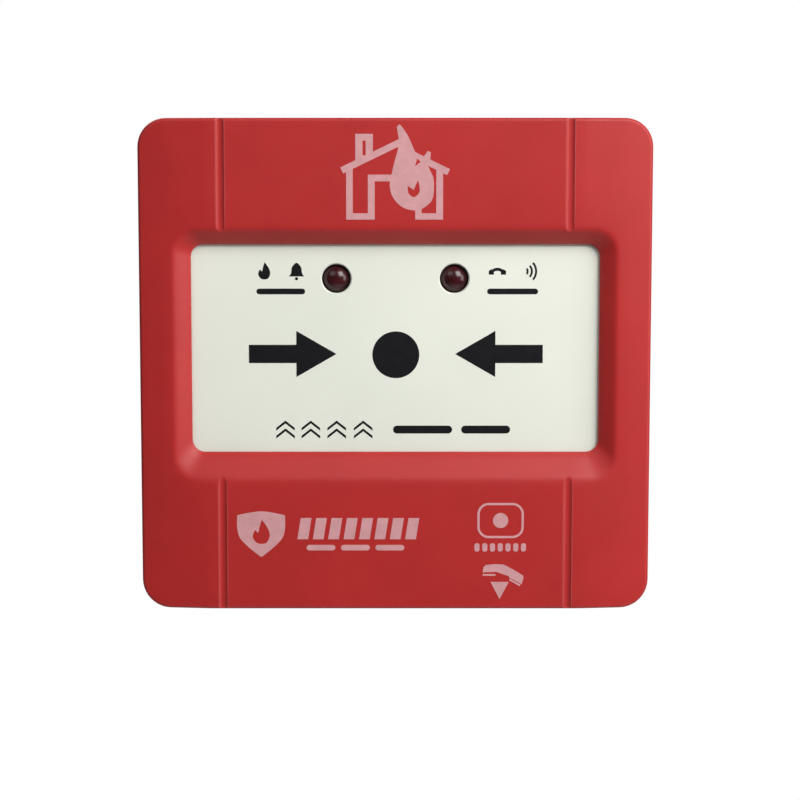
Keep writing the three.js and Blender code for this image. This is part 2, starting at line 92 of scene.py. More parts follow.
PANEL_FACE_Y = PANEL_LOW.y - 0.25  # a little ahead of the frame's, so the window's edge shades it less
PANEL_BACK_Y = PANEL_LOW.y + 2
WALL = 2.2
CORNER = 5.0
EDGE = 0.6  # fillet between the front and the sides
BACK_EDGE = 0.35  # fillet at the cover's rim
GROOVE_X = 30.45
GROOVE_HALF = 0.72
GROOVE_DEPTH = 0.33
RECESS = {"x": (-39.0, 39.0), "z": (-20.3, 24.0), "r": 4.2}
WINDOW = {"x": (-35.95, 35.95), "z": (-15.5, 21.25), "r": 2.2}
WINDOW_DEPTH = 2.8
SLOPE_BACK_DEPTH = 3.1
PANEL_OVERLAP = 1.2
SIDE_FALL = 1.6  # how far the front curves back at its left and right edges
FRONT_OUTLINE = {"x": (-HALF_W, HALF_W), "z": (-HALF_H, HALF_H), "r": CORNER}
LAMP_HOLE = 2.56
LAMP_RADIUS = 2.36
LAMP_FLANGE_Y = -32.1
LEG_SPREAD = 1.27
SLOT_X = 30  # wall-box screws, from the middle
PRINT_HEIGHT = 0.02


# Meshes

def mesh_object(name, vertices, faces, sharp_angle=35):
    """A closed mesh from points in millimetres, with its faces turned outwards."""
    made = bmesh.new()
    points = [made.verts.new(Vector(v) * MM) for v in vertices]
    for face in faces:
        made.faces.new([points[i] for i in face])
    bmesh.ops.recalc_face_normals(made, faces=made.faces)
    data = bpy.data.meshes.new(name)
    made.to_mesh(data)
    made.free()
    obj = bpy.data.objects.new(name, data)
    bpy.context.scene.collection.objects.link(obj)
    smooth(obj, sharp_angle)
    return obj


def smooth(obj, sharp_angle=35):
    obj.data.shade_smooth()
    obj.data.set_sharp_from_angle(angle=math.radians(sharp_angle))


def bake_modifiers(obj):
    """Replaces the object's mesh with its evaluated one."""
    evaluated = obj.evaluated_get(bpy.context.evaluated_depsgraph_get())
    data = bpy.data.meshes.new_from_object(evaluated)
    obj.modifiers.clear()
    obj.data = data


def combine(obj, tools, operation):
    """Cuts the tools out of obj, or joins them to it, and removes them."""
    for tool in tools:
        step = obj.modifiers.new("step", "BOOLEAN")
        step.operation = operation
        step.solver = "EXACT"
        step.object = tool
    bpy.context.view_layer.update()
    bake_modifiers(obj)
    for tool in tools:
        bpy.data.objects.remove(tool)
    smooth(obj)


def even_normals(obj):
    """Lets the large flat faces keep their own shading, so the fillets beside them don't tint them."""
    step = obj.modifiers.new("normals", "WEIGHTED_NORMAL")
    step.mode = "FACE_AREA"
    step.weight = 50
    step.keep_sharp = True
    bpy.context.view_layer.update()
    bake_modifiers(obj)


def soften(obj, width, segments, angle=40):
    """Rounds the sharp edges."""
    step = obj.modifiers.new("edges", "BEVEL")
    step.width = width * MM
    step.segments = segments
    step.limit_method = "ANGLE"
    step.angle_limit = math.radians(angle)
    step.harden_normals = False
    bpy.context.view_layer.update()
    bake_modifiers(obj)
    smooth(obj)


def outline(x, z, r, steps=10, along_x=(), along_z=()):
    """A rounded rectangle, anticlockwise from the front, with shared stops along its straight sides."""
    corners = [
        (x[1] - r, z[0] + r, -90),
        (x[1] - r, z[1] - r, 0),
        (x[0] + r, z[1] - r, 90),
        (x[0] + r, z[0] + r, 180),
    ]
    sides = [
        [(x[1], stop) for stop in along_z],
        [(stop, z[1]) for stop in reversed(along_x)],
        [(x[0], stop) for stop in reversed(along_z)],
        [(stop, z[0]) for stop in along_x],
    ]
    points = []
    for (cx, cz, start), side in zip(corners, sides):
        for i in range(steps + 1):
            angle = math.radians(start + 90 * i / steps)
            points.append((cx + r * math.cos(angle), cz + r * math.sin(angle)))
        points.extend(side)
    return points


def grown(x, z, r, by):
    """A rounded rectangle with every side moved out by the same distance."""
    return {"x": (x[0] - by, x[1] + by), "z": (z[0] - by, z[1] + by), "r": max(0.3, r + by)}


def between(a, b, share):
    """A rounded rectangle part of the way from a to b."""
    def mix(p, q):
        return p + (q - p) * share

    return {
        "x": (mix(a["x"][0], b["x"][0]), mix(a["x"][1], b["x"][1])),
        "z": (mix(a["z"][0], b["z"][0]), mix(a["z"][1], b["z"][1])),
        "r": mix(a["r"], b["r"]),
    }


def loft(name, rings, closed=False, sharp_angle=35):
    """A skin through rings of equally many points; open ends are capped."""
    n = len(rings[0])
    vertices = [p for ring in rings for p in ring]
    faces = []
    last = len(rings) if closed else len(rings) - 1
    for k in range(last):
        a, b = k * n, ((k + 1) % len(rings)) * n
        faces += [(a + i, a + (i + 1) % n, b + (i + 1) % n, b + i) for i in range(n)]
    if not closed:
        faces.append(tuple(range(n)))
        faces.append(tuple(range((len(rings) - 1) * n, len(rings) * n)))
    return mesh_object(name, vertices, faces, sharp_angle)


def flat_ring(shape, y, **stops):
    return [(px, y, pz) for px, pz in outline(**shape, **stops)]


def lathe(name, profile, centre, axis, steps=64):
    """A solid of revolution. The profile runs [radius, height] and closes on itself or on the axis."""
    rings = []
    for i in range(steps):
        angle = 2 * math.pi * i / steps
        c, s = math.cos(angle), math.sin(angle)
        if axis == "y":
            rings.append([(centre.x + r * c, h, centre.z + r * s) for r, h in profile])
        else:
            rings.append([(centre.x + r * c, centre.y + r * s, h) for r, h in profile])
    n = len(profile)
    on_axis = profile[0][0] == 0
    vertices = [p for ring in rings for p in ring]
    faces = []
    for k in range(steps):
        a, b = k * n, ((k + 1) % steps) * n
        for i in range(n - 1 if on_axis else n):
            j = (i + 1) % n
            faces.append((a + i, a + j, b + j, b + i))
    obj = mesh_object(name, vertices, faces)
    if on_axis:
        made = bmesh.new()
        made.from_mesh(obj.data)
        bmesh.ops.remove_doubles(made, verts=made.verts, dist=1e-7)
        bmesh.ops.dissolve_degenerate(made, edges=made.edges, dist=1e-7)
        bmesh.ops.recalc_face_normals(made, faces=made.faces)
        made.to_mesh(obj.data)
        made.free()
        smooth(obj)
    return obj


def block(name, x, y, z, radius):
    """A box with rounded edges."""
    corners = [(a, b, c) for a in x for b in y for c in z]
    faces = [(0, 1, 3, 2), (4, 6, 7, 5), (0, 4, 5, 1), (2, 3, 7, 6), (0, 2, 6, 4), (1, 5, 7, 3)]
    obj = mesh_object(name, corners, faces)
    soften(obj, radius, 3)
    return obj


def rounded_prism(name, shape, y):
    """A straight prism along Y with a rounded rectangle for its section."""
    return loft(name, [flat_ring(shape, end) for end in sorted(y)])


# Materials

class Nodes:
    """A principled material that is built up by small steps."""

    def __init__(self, name):
        self.material = bpy.data.materials.new(name)
        self.material.use_nodes = True
        self.tree = self.material.node_tree
        self.surface = self.tree.nodes["Principled BSDF"]
        self.place = self.add("ShaderNodeTexCoord").outputs["Object"]

    def add(self, kind, **settings):
        node = self.tree.nodes.new(kind)
        for key, value in settings.items():
            setattr(node, key, value)
        return node

    def link(self, source, target):
        self.tree.links.new(source, target)

    def stretched(self, scale):
        mapping = self.add("ShaderNodeMapping")
        mapping.inputs["Scale"].default_value = scale
        self.link(self.place, mapping.inputs["Vector"])
        return mapping.outputs["Vector"]

    def noise(self, size_mm, detail, roughness=0.5, place=None):
        node = self.add("ShaderNodeTexNoise")
        node.inputs["Scale"].default_value = 1 / (size_mm * MM)
        node.inputs["Detail"].default_value = detail
        node.inputs["Roughness"].default_value = roughness
        self.link(place or self.place, node.inputs["Vector"])
        return node.outputs["Fac"]

    def ramp(self, value, stops):
        node = self.add("ShaderNodeValToRGB")
        ramp = node.color_ramp
        while len(ramp.elements) < len(stops):
            ramp.elements.new(0.5)
        for element, (position, colour) in zip(ramp.elements, stops):
            element.position = position
            element.color = (*colour, 1)
        self.link(value, node.inputs["Fac"])
        return node.outputs["Color"]

    def mixed(self, factor, colour, other):
        """Goes from one linked colour to a fixed one as the linked factor rises."""
        node = self.add("ShaderNodeMix", data_type="RGBA", blend_type="MIX")
        self.link(factor, node.inputs[0])
        self.link(colour, node.inputs[6])
        node.inputs[7].default_value = (*other, 1)
        return node.outputs[2]

    def scaled(self, value, low, high, source=(0.3, 0.7)):
        node = self.add("ShaderNodeMapRange")
        self.link(value, node.inputs["Value"])
        node.inputs["From Min"].default_value = source[0]
        node.inputs["From Max"].default_value = source[1]
        node.inputs["To Min"].default_value = low
        node.inputs["To Max"].default_value = high
        return node.outputs["Result"]

    def edge_distance(self, reach_mm):
        """1 on flat ground, falling towards an edge that is less than reach_mm away."""
        rounded = self.add("ShaderNodeBevel", samples=4)
        rounded.inputs["Radius"].default_value = reach_mm * MM
        compare = self.add("ShaderNodeVectorMath", operation="DOT_PRODUCT")
        self.link(rounded.outputs["Normal"], compare.inputs[0])
        self.link(self.add("ShaderNodeNewGeometry").outputs["Normal"], compare.inputs[1])
        return compare.outputs["Value"]

    def bumped(self, heights):
        """heights is a list of (value, depth in millimetres)."""
        normal = None
        for value, depth in heights:
            node = self.add("ShaderNodeBump")
            node.inputs["Strength"].default_value = 1.0
            node.inputs["Distance"].default_value = depth * MM
            self.link(value, node.inputs["Height"])
            if normal:
                self.link(normal, node.inputs["Normal"])
            normal = node.outputs["Normal"]
        self.link(normal, self.surface.inputs["Normal"])

    def finish(self, colour, roughness, **plain):
        for socket, value in (("Base Color", colour), ("Roughness", roughness)):
            self.link(value, self.surface.inputs[socket])
        for name, value in plain.items():
            self.surface.inputs[name.replace("_", " ")].default_value = value
        return self.material


def shade(colour, factor):
    return tuple(min(1, c * factor) for c in colour)


def moulded_plastic(
    name, colour, roughness=(0.465, 0.51), grain=0.22, depth=0.006, spread=0.06, wear=0.1
):
    """Moulded plastic with a spark-eroded grain, faint flow clouds and paler, polished edges."""
    made = Nodes(name)
    clouds = made.noise(14, 3)
    specks = made.noise(0.9, 2)
    body = made.ramp(clouds, [(0.3, shade(colour, 1 - spread)), (0.7, shade(colour, 1 + spread))])
    body = made.mixed(made.scaled(specks, 0, 0.35), body, shade(colour, 1 + 1.5 * spread))
    polished = made.scaled(made.edge_distance(0.45), wear, 0, (0.9, 0.998))
    body = made.mixed(polished, body, (0.9, 0.8, 0.78))
    rough = made.scaled(made.noise(5, 4), roughness[0], roughness[1])
    made.bumped([(made.noise(grain, 2, 0.6), depth), (made.noise(16, 1), depth)])
    return made.finish(body, rough, Metallic=0.0, IOR=1.5, Specular_IOR_Level=0.46)


def ink(name, colour, under=None):
    """Screen-printed ink, a little uneven, with pinholes to the colour under it."""
    made = Nodes(name)
    body = made.ramp(made.noise(2.2, 4), [(0.25, shade(colour, 0.9)), (0.75, shade(colour, 1.08))])
    if under:
        holes = made.scaled(made.noise(0.14, 1), 0, 0.35, (0.66, 0.72))
        body = made.mixed(holes, body, under)
    made.bumped([(made.noise(0.2, 2), 0.004)])
    rough = made.scaled(made.noise(1.5, 2), 0.44, 0.56)
    return made.finish(body, rough, Specular_IOR_Level=0.22)


def gloss_panel(name, colour):
    """Smooth moulded sheet with a faint orange peel."""
    made = Nodes(name)
    body = made.ramp(made.noise(22, 2), [(0.3, shade(colour, 0.975)), (0.7, shade(colour, 1.02))])
    body = made.mixed(made.scaled(made.noise(0.5, 2), 0, 0.12), body, shade(colour, 0.94))
    rough = made.scaled(made.noise(7, 5, 0.6), 0.3, 0.42)
    made.bumped([(made.noise(0.3, 2), 0.0015), (made.noise(12, 1), 0.01)])
    return made.finish(body, rough, IOR=1.49)


def metal(name, colour, roughness=(0.22, 0.38), lay=(1, 1, 12)):
    """Drawn or plated metal with fine lines across lay."""
    made = Nodes(name)
    lines = made.noise(0.6, 3, 0.6, made.stretched(lay))
    body = made.ramp(made.noise(3, 3), [(0.3, shade(colour, 0.86)), (0.7, shade(colour, 1.08))])
    made.bumped([(lines, 0.002)])
    return made.finish(body, made.scaled(lines, roughness[0], roughness[1]), Metallic=1.0)


def lens(name, colour):
    """Deep red, clear epoxy, a little uneven in depth of colour."""
    made = Nodes(name)
    body = made.ramp(made.noise(1.6, 2), [(0.3, shade(colour, 0.7)), (0.7, shade(colour, 1.3))])
    made.bumped([(made.noise(1.2, 1), 0.003)])
    rough = made.scaled(made.noise(0.8, 2), 0.2, 0.26)
    return made.finish(body, rough, IOR=1.5)


def laminate(name, colour):
    """Solder mask over copper tracks."""
    made = Nodes(name)
    tracks = made.add("ShaderNodeTexBrick", offset=0.37, squash=1.4)
    tracks.inputs["Scale"].default_value = 190
    tracks.inputs["Mortar Size"].default_value = 0.05
    tracks.inputs["Color1"].default_value = (*colour, 1)
    tracks.inputs["Color2"].default_value = (*shade(colour, 1.25), 1)
    tracks.inputs["Mortar"].default_value = (*shade(colour, 2.4), 1)
    turned = made.add("ShaderNodeMapping")
    turned.inputs["Rotation"].default_value = (math.pi / 2, 0, 0)
    made.link(made.place, turned.inputs["Vector"])
    made.link(turned.outputs["Vector"], tracks.inputs["Vector"])
    patches = made.scaled(made.noise(6, 3), 0, 0.4)
    body = made.mixed(patches, tracks.outputs["Color"], shade(colour, 0.8))
    made.bumped([(tracks.outputs["Fac"], 0.02)])
    rough = made.scaled(made.noise(2, 2), 0.22, 0.34)
    return made.finish(body, rough, Coat_Weight=0.3, Coat_Roughness=0.1)


RED = (0.452, 0.0180, 0.0170)
MATERIALS = {
    "red_shell": moulded_plastic("red_shell", RED),
    "white_panel": gloss_panel("white_panel", (0.845, 0.88, 0.79)),
    "lamp_lens": lens("lamp_lens", (0.040, 0.0035, 0.006)),
    "black_moulding": moulded_plastic(
        "black_moulding", (0.014, 0.014, 0.015), spread=0.15, wear=0.04
    ),
    "grey_moulding": moulded_plastic("grey_moulding", (0.27, 0.28, 0.275), wear=0.12),
    "board_laminate": laminate("board_laminate", (0.012, 0.09, 0.035)),
    "capacitor_sleeve": moulded_plastic(
        "capacitor_sleeve", (0.01, 0.013, 0.03), (0.2, 0.3), 0.5, 0.002
    ),
    "red_button": moulded_plastic("red_button", (0.36, 0.015, 0.015)),
    "steel": metal("steel", (0.58, 0.59, 0.60)),
    "nickel_bush": metal("nickel_bush", (0.66, 0.63, 0.58), (0.14, 0.26), (1, 1, 30)),
    "brass_contact": metal("brass_contact", (0.75, 0.53, 0.22)),
    "black_ink": ink("black_ink", (0.006, 0.0065, 0.008)),
    "pale_ink": ink("pale_ink", (0.66, 0.34, 0.36), RED),
}


def dress(obj, material, body, replaces=()):
    """Gives a piece its material and the body it rides on, and hides the CAD nodes it stands for."""
    obj.data.materials.clear()
    obj.data.materials.append(MATERIALS[material])
    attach(obj, body)
    if replaces:
        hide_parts(*replaces)
    return obj


# Camera: above the middle of the front, which it looks down at

def make_camera():
    distance_m = 0.330
    above = math.radians(5.5)
    face = Vector((0, FACE_Y * MM, 0))
    data = bpy.data.cameras.new("camera")
    data.sensor_width = 36
    data.lens = 84.75
    data.shift_x = 0.0059
    data.shift_y = -0.0420
    data.clip_start = 0.01
    camera = bpy.data.objects.new("camera", data)
    away = Vector((0, -math.cos(above), math.sin(above)))
    camera.location = face + away * distance_m
    camera.rotation_euler = (-away).to_track_quat("-Z", "Y").to_euler()
    bpy.context.scene.collection.objects.link(camera)
    bpy.context.scene.camera = camera


make_camera()


# Front cover

def side_fall(x):
    """The bands outside the grooves curve back towards the sides."""
    start = GROOVE_X + 1
    share = max(0.0, abs(x) - start) / (HALF_W - start)
    return SIDE_FALL * share ** 1.5


def groove_depth(x):
    """A rounded channel on each side, with a steeper flank than a circle's."""
    share = abs(abs(x) - GROOVE_X) / GROOVE_HALF
    return GROOVE_DEPTH * (1 - share ** 2.4) ** 0.6 if share < 1 else 0.0


def front_depth(x):
    return max(side_fall(x), groove_depth(x))


def slope(share):
    """The recess's depth, as a share, from its soft outer edge (0) to the window (1)."""
    softness = 0.17
    line = (share - 0.07) / 0.93
    soft = (line + math.sqrt(line * line + softness * softness)) / 2
    steeper = 0.06 * max(0.0, share - 0.8) / 0.2
    return min(1.0, soft * 0.94 + steeper)


def cover_stops():
    """Stops along the sides of every ring, close together where the grooves are."""
    offsets = [0, 0.25, 0.5, 0.7, 0.85, 0.95, 1.0, 1.06, 1.3, 1.8]
    near_groove = sorted({GROOVE_X + sign * o * GROOVE_HALF for o in offsets for sign in (-1, 1)})
    middle = [i * 2.0 for i in range(15)]
    half = [v for v in middle if v < near_groove[0] - 0.3] + near_groove + [32.8, 33.6]
    along_x = sorted({-v for v in half} | set(half))
    count = 14
    low, high = -13.2, 18.9
    along_z = [low + (high - low) * i / count for i in range(count + 1)]
    return {"along_x": along_x, "along_z": along_z}


def front_rings(stops):
    """From the window's edge up the recess's slope and across the front to the outer sides."""

    def surface_ring(shape, depth):
        return [(x, FACE_Y + depth(x), z) for x, z in outline(**shape, **stops)]

    rings = [flat_ring(WINDOW, FACE_Y + SLOPE_BACK_DEPTH, **stops)]
    rings.append(flat_ring(WINDOW, FACE_Y + WINDOW_DEPTH + 0.08, **stops))
    shares = [0.992, 0.97, 0.93, 0.87, 0.8, 0.7, 0.58, 0.46, 0.35, 0.26, 0.19, 0.13, 0.08, 0.03]
    shares += [-0.03, -0.1, -0.2, -0.35]
    for share in shares:

        def recess_depth(x, share=share):
            fall = side_fall(x)
            return max(front_depth(x), fall + (WINDOW_DEPTH - fall) * slope(share))

        rings.append(surface_ring(between(RECESS, WINDOW, share), recess_depth))
    start = between(RECESS, WINDOW, shares[-1])
    end = grown(**FRONT_OUTLINE, by=-EDGE)
    steps = 8
    for i in range(1, steps + 1):
        rings.append(surface_ring(between(start, end, i / steps), front_depth))
    for i in range(1, steps + 1):
        angle = math.radians(90 * i / steps)
        turn = EDGE * (1 - math.cos(angle))

        def edge_depth(x, turn=turn):
            return max(side_fall(x) + turn, groove_depth(x))

        shape = grown(**FRONT_OUTLINE, by=EDGE * (math.sin(angle) - 1))
        rings.append(surface_ring(shape, edge_depth))
    return rings


def shell_rings(stops):
    """From the outer sides round the back edge to the inside and back to the window."""
    inner = grown(**FRONT_OUTLINE, by=-WALL)
    seat = {"x": (-42.3, 42.3), "z": (-23.6, 27.2), "r": 2.0}
    rings = []
    for y in (-40.4, -30, -20):
        rings.append(flat_ring(FRONT_OUTLINE, y, **stops))
    for i in range(5):
        angle = math.radians(90 * i / 4)
        shape = grown(**FRONT_OUTLINE, by=BACK_EDGE * (math.cos(angle) - 1))
        rings.append(flat_ring(shape, COVER_BACK_Y - BACK_EDGE * (1 - math.sin(angle)), **stops))
    rings.append(flat_ring(grown(**inner, by=0.2), COVER_BACK_Y, **stops))
    rings.append(flat_ring(inner, COVER_BACK_Y - 0.2, **stops))
    rings.append(flat_ring(inner, FACE_Y + WALL + 0.8, **stops))
    rings.append(flat_ring(grown(**inner, by=-0.4), FACE_Y + WALL + 0.3, **stops))
    rings.append(flat_ring(grown(**seat, by=0.05), FACE_Y + WALL + 0.3, **stops))
    rings.append(flat_ring(seat, FACE_Y + SLOPE_BACK_DEPTH, **stops))
    return rings


def front_cover():
    stops = cover_stops()
    cover = loft("front_cover_shell", front_rings(stops) + shell_rings(stops), closed=True)
    bottom = -HALF_H
    jack_profile = [
        (0, bottom - 1),
        (5.55, bottom - 1),
        (5.3, bottom + 0.25),
        (5.3, bottom + 3),
        (0, bottom + 3),
    ]
    jack_hole = lathe("jack_hole", jack_profile, JACK, "z")
    slot = {"x": (KEY.x - 1.5, KEY.x + 1.5), "z": (-28.5, -21.5), "r": 0.5}
    key_hole = loft(
        "key_hole",
        [
            [(x, z, bottom - 1) for x, z in outline(**grown(**slot, by=1.25), steps=4)],
            [(x, z, bottom + 0.25) for x, z in outline(**slot, steps=4)],
            [(x, z, bottom + 3) for x, z in outline(**slot, steps=4)],
        ],
    )
    seat = FACE_Y + SLOPE_BACK_DEPTH
    bore = 1.1  # for the screws of the support frame
    holes = []
    for x in (-40.2, 40.2):
        for z in (-20.5, 25.0):
            hole = {"x": (x - bore, x + bore), "z": (z - bore, z + bore), "r": 1.09}
            holes.append(rounded_prism("screw_hole", hole, (seat - 1.7, seat + 1)))
    combine(cover, [jack_hole, key_hole, *holes], "DIFFERENCE")
    bosses = []
    for screw in range(1, 5):
        at = node_centre(f"cover_screw_{screw}")
        root = FACE_Y + WALL
        profile = [(1.2, root), (3.2, root), (3.2, -14.6), (3.0, -14.4), (1.4, -14.4), (1.2, -14.6)]
        bosses.append(lathe(f"boss_{screw}", profile, at, "y", 32))
    combine(cover, bosses, "UNION")
    even_normals(cover)
    return dress(cover, "red_shell", "front_unit", ["front_cover"])


front_cover()


# Base tray

def base_tray():
    outer = {"x": (BASE_LOW.x, BASE_HIGH.x), "z": (BASE_LOW.z, BASE_HIGH.z), "r": CORNER - 0.2}
    front = BASE_LOW.y
    wall_edge, front_edge = 0.5, 0.3
    rings = [flat_ring(grown(**outer, by=-4), 0)]
    for i in range(5):
        angle = math.radians(90 * i / 4)
        shape = grown(**outer, by=wall_edge * (math.sin(angle) - 1))
        rings.append(flat_ring(shape, -wall_edge * (1 - math.cos(angle))))
    for i in range(5):
        angle = math.radians(90 * i / 4)
        shape = grown(**outer, by=front_edge * (math.cos(angle) - 1))
        rings.append(flat_ring(shape, front + front_edge * (1 - math.sin(angle))))
    rings.append(flat_ring(grown(**outer, by=-WALL + 0.2), front))
    rings.append(flat_ring(grown(**outer, by=-WALL), front + 0.2))
    rings.append(flat_ring(grown(**outer, by=-WALL), -WALL - 0.6))
    rings.append(flat_ring(grown(**outer, by=-WALL - 0.6), -WALL))
    rings.append(flat_ring(grown(**outer, by=-4), -WALL))
    tray = loft("base_tray_shell", rings)
    extras = []
    entry = {"x": (-14, 14), "z": (-9, 9), "r": 3}
    extras.append(rounded_prism("entry_rim", grown(**entry, by=1.4), (-WALL - 1.2, -WALL + 0.4)))
    for side in (-1, 1):
        centre = SLOT_X * side
        pad = {"x": (centre - 5, centre + 5), "z": (-7.5, 7.5), "r": 4}
        extras.append(rounded_prism("slot_pad", pad, (-WALL - 0.8, -WALL + 0.4)))
        for z in (-36.0, 36.0):
            x = sorted((36.5 * side, 41.5 * side))
            extras.append(block("rib", x, (-6.0, -WALL + 0.4), (z - 0.6, z + 0.6), 0.2))
    combine(tray, extras, "UNION")
    cuts = [rounded_prism("entry_cut", entry, (-WALL - 3, 1))]
    for side in (-1, 1):
        centre = SLOT_X * side
        slot = {"x": (centre - 1.95, centre + 1.95), "z": (-4.5, 4.5), "r": 1.94}
        sink = {"x": (centre - 3.9, centre + 3.9), "z": (-6.4, 6.4), "r": 3.8}
        cuts.append(rounded_prism("slot_cut", slot, (-WALL - 3, 1)))
        cuts.append(rounded_prism("sink_cut", sink, (-WALL - 3, -WALL - 0.1)))
        for z in (-34.0, 34.0):
            mark = Vector((36 * side, 0, z))
            profile = [(0, -0.25), (2.6, -0.25), (2.8, 1), (0, 1)]
            cuts.append(lathe("ejector_mark", profile, mark, "y", 40))
    combine(tray, cuts, "DIFFERENCE")
    soften(tray, 0.15, 2, 60)
    even_normals(tray)
    return dress(tray, "red_shell", "base", ["base_tray"])


base_tray()


# Press panel

def lamp_hole_cut(side):
    y = PANEL_FACE_Y
    profile = [
        (0, y - 1),
        (LAMP_HOLE + 1.2, y - 1),
        (LAMP_HOLE + 0.2, y),
        (LAMP_HOLE, y + 0.25),
        (LAMP_HOLE, y + 3),
        (0, y + 3),
    ]
    return lathe(f"lamp_hole_{side}", profile, LAMP_CENTRES[side], "y")


def press_panel():
    shape = {**grown(**WINDOW, by=PANEL_OVERLAP), "r": 2.6}
    front_edge = 0.4
    rings = [flat_ring(grown(**shape, by=-3), PANEL_FACE_Y)]
    for i in range(6):
        angle = math.radians(90 * i / 5)
        edge = grown(**shape, by=front_edge * (math.sin(angle) - 1))
        rings.append(flat_ring(edge, PANEL_FACE_Y + front_edge * (1 - math.cos(angle))))
    rings.append(flat_ring(shape, PANEL_BACK_Y - 0.2))
    rings.append(flat_ring(grown(**shape, by=-0.2), PANEL_BACK_Y))
    rings.append(flat_ring(grown(**shape, by=-3), PANEL_BACK_Y))
    panel = loft("press_panel_plate", rings)
    root = PANEL_BACK_Y - 0.6
    extras = []
    for side in (-1, 1):
        x = sorted((31.5 * side, 34.5 * side))
        extras.append(block("lug", x, (root, -34.5), (18.2, 22.0), 0.4))
        x = sorted((2.4 * side, 3.8 * side))
        extras.append(block("ear", x, (root, -26.2), (-11, -7), 0.2))
    extras.append(block("post", (23.2, 24.8), (root, -32.5), (-9, -7), 0.2))
    for x in (-20.0, 14.0):
        rib_y = (root, PANEL_BACK_Y + 1.4)
        extras.append(block("rib", (x - 0.5, x + 0.5), rib_y, (-14, 9), 0.15))
    combine(panel, extras, "UNION")
    hinge = node_centre("hinge_rod")
    pin = node_centre("drive_pin")
    cuts = [lamp_hole_cut("left"), lamp_hole_cut("right")]
    for centre, radius, half in ((hinge, 1.3, 36), (pin, 1.1, 5)):
        across = (centre.y - radius, centre.y + radius)
        points = outline(across, (centre.z - radius, centre.z + radius), radius - 0.01, steps=8)
        cuts.append(loft("bore", [[(x, y, z) for y, z in points] for x in (-half, half)]))
    combine(panel, cuts, "DIFFERENCE")
    even_normals(panel)
    return dress(panel, "white_panel", "panel", ["press_panel"])


press_panel()


# Lamps

def signal_lamp(side):
    """A 5 mm lamp: domed lens, flange and two legs."""
    centre = LAMP_CENTRES[side]
    tip = LAMP_LOW.y
    dome = LAMP_RADIUS * 0.82
    steps = 14
    profile = [(0, tip)]
    for i in range(1, steps + 1):
        angle = math.radians(90 * i / steps)
        profile.append((LAMP_RADIUS * math.sin(angle), tip + dome * (1 - math.cos(angle))))
    back = LAMP_FLANGE_Y
    profile += [(LAMP_RADIUS, back - 1.1), (2.7, back - 1), (2.8, back - 0.9)]
    profile += [(2.8, back - 0.1), (2.7, back), (0, back)]
    lamp = lathe(f"lamp_lens_{side}", profile, centre, "y")
    dress(lamp, "lamp_lens", "front_unit", [f"signal_lamp_{side}"])
    half = 0.25
    for number, shift in enumerate((-LEG_SPREAD, LEG_SPREAD), 1):
        x = (centre.x + shift - half, centre.x + shift + half)
        y = (LAMP_FLANGE_Y + 0.05, LAMP_HIGH.y)
        z = (centre.z - half, centre.z + half)
        leg = block(f"lamp_leg_{side}_{number}", x, y, z, 0.06)
        dress(leg, "steel", "front_unit")


for lamp_side in ("left", "right"):
    signal_lamp(lamp_side)


# Phone jack bush

def jack_bush():
    """The threaded bush that a plug goes into."""
    low, high = JACK_LOW.z, JACK_HIGH.z
    bore, outside = 3.3, 5.0
    profile = [(bore, low + 0.35), (3.6, low), (4.7, low), (outside, low + 0.3)]
    profile += [(outside, high), (bore, high)]
    for thread in range(4):
        z = high - 0.35 - thread * 0.45
        profile += [(bore, z), (bore + 0.12, z - 0.15), (bore, z - 0.3)]
    bush = lathe("jack_bush_ring", profile, JACK, "z")
    return dress(bush, "nickel_bush", "front_unit", ["jack_bush"])


jack_bush()


# Springs

def coil_spring(node, turns, wire):
    """A round-wire spring along Z with close end turns."""
    low, high = node_box(node)
    centre = (low + high) / 2
    radius = (high.x - low.x) / 2 - wire
    rings = []
    steps = 28 * turns
    for i in range(steps + 1):
        share = i / steps
        angle = 2 * math.pi * turns * share
        even = max(0.0, min(1.0, (share * turns - 0.8) / (turns - 1.6)))
        height = low.z + wire + (high.z - low.z - 2 * wire) * (0.08 * share + 0.92 * even)
        out = Vector((math.cos(angle), math.sin(angle), 0))
        at = Vector((centre.x, centre.y, height)) + out * radius
        rings.append([
            tuple(at + out * wire * math.cos(turn) + Vector((0, 0, wire * math.sin(turn))))
            for turn in (2 * math.pi * k / 12 for k in range(12))
        ])
    spring = loft(f"{node}_coil", rings, sharp_angle=60)
    dress(spring, "steel", "front_unit", [node])
    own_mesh(spring)


coil_spring("reset_spring", 5, 0.25)
coil_spring("toggle_spring", 6, 0.28)


# Printed symbols: each is a thin closed skin that lies on the face it is printed on

def polygon_area(points):
    return sum(a[0] * b[1] - b[0] * a[1] for a, b in zip(points, points[1:] + points[:1])) / 2


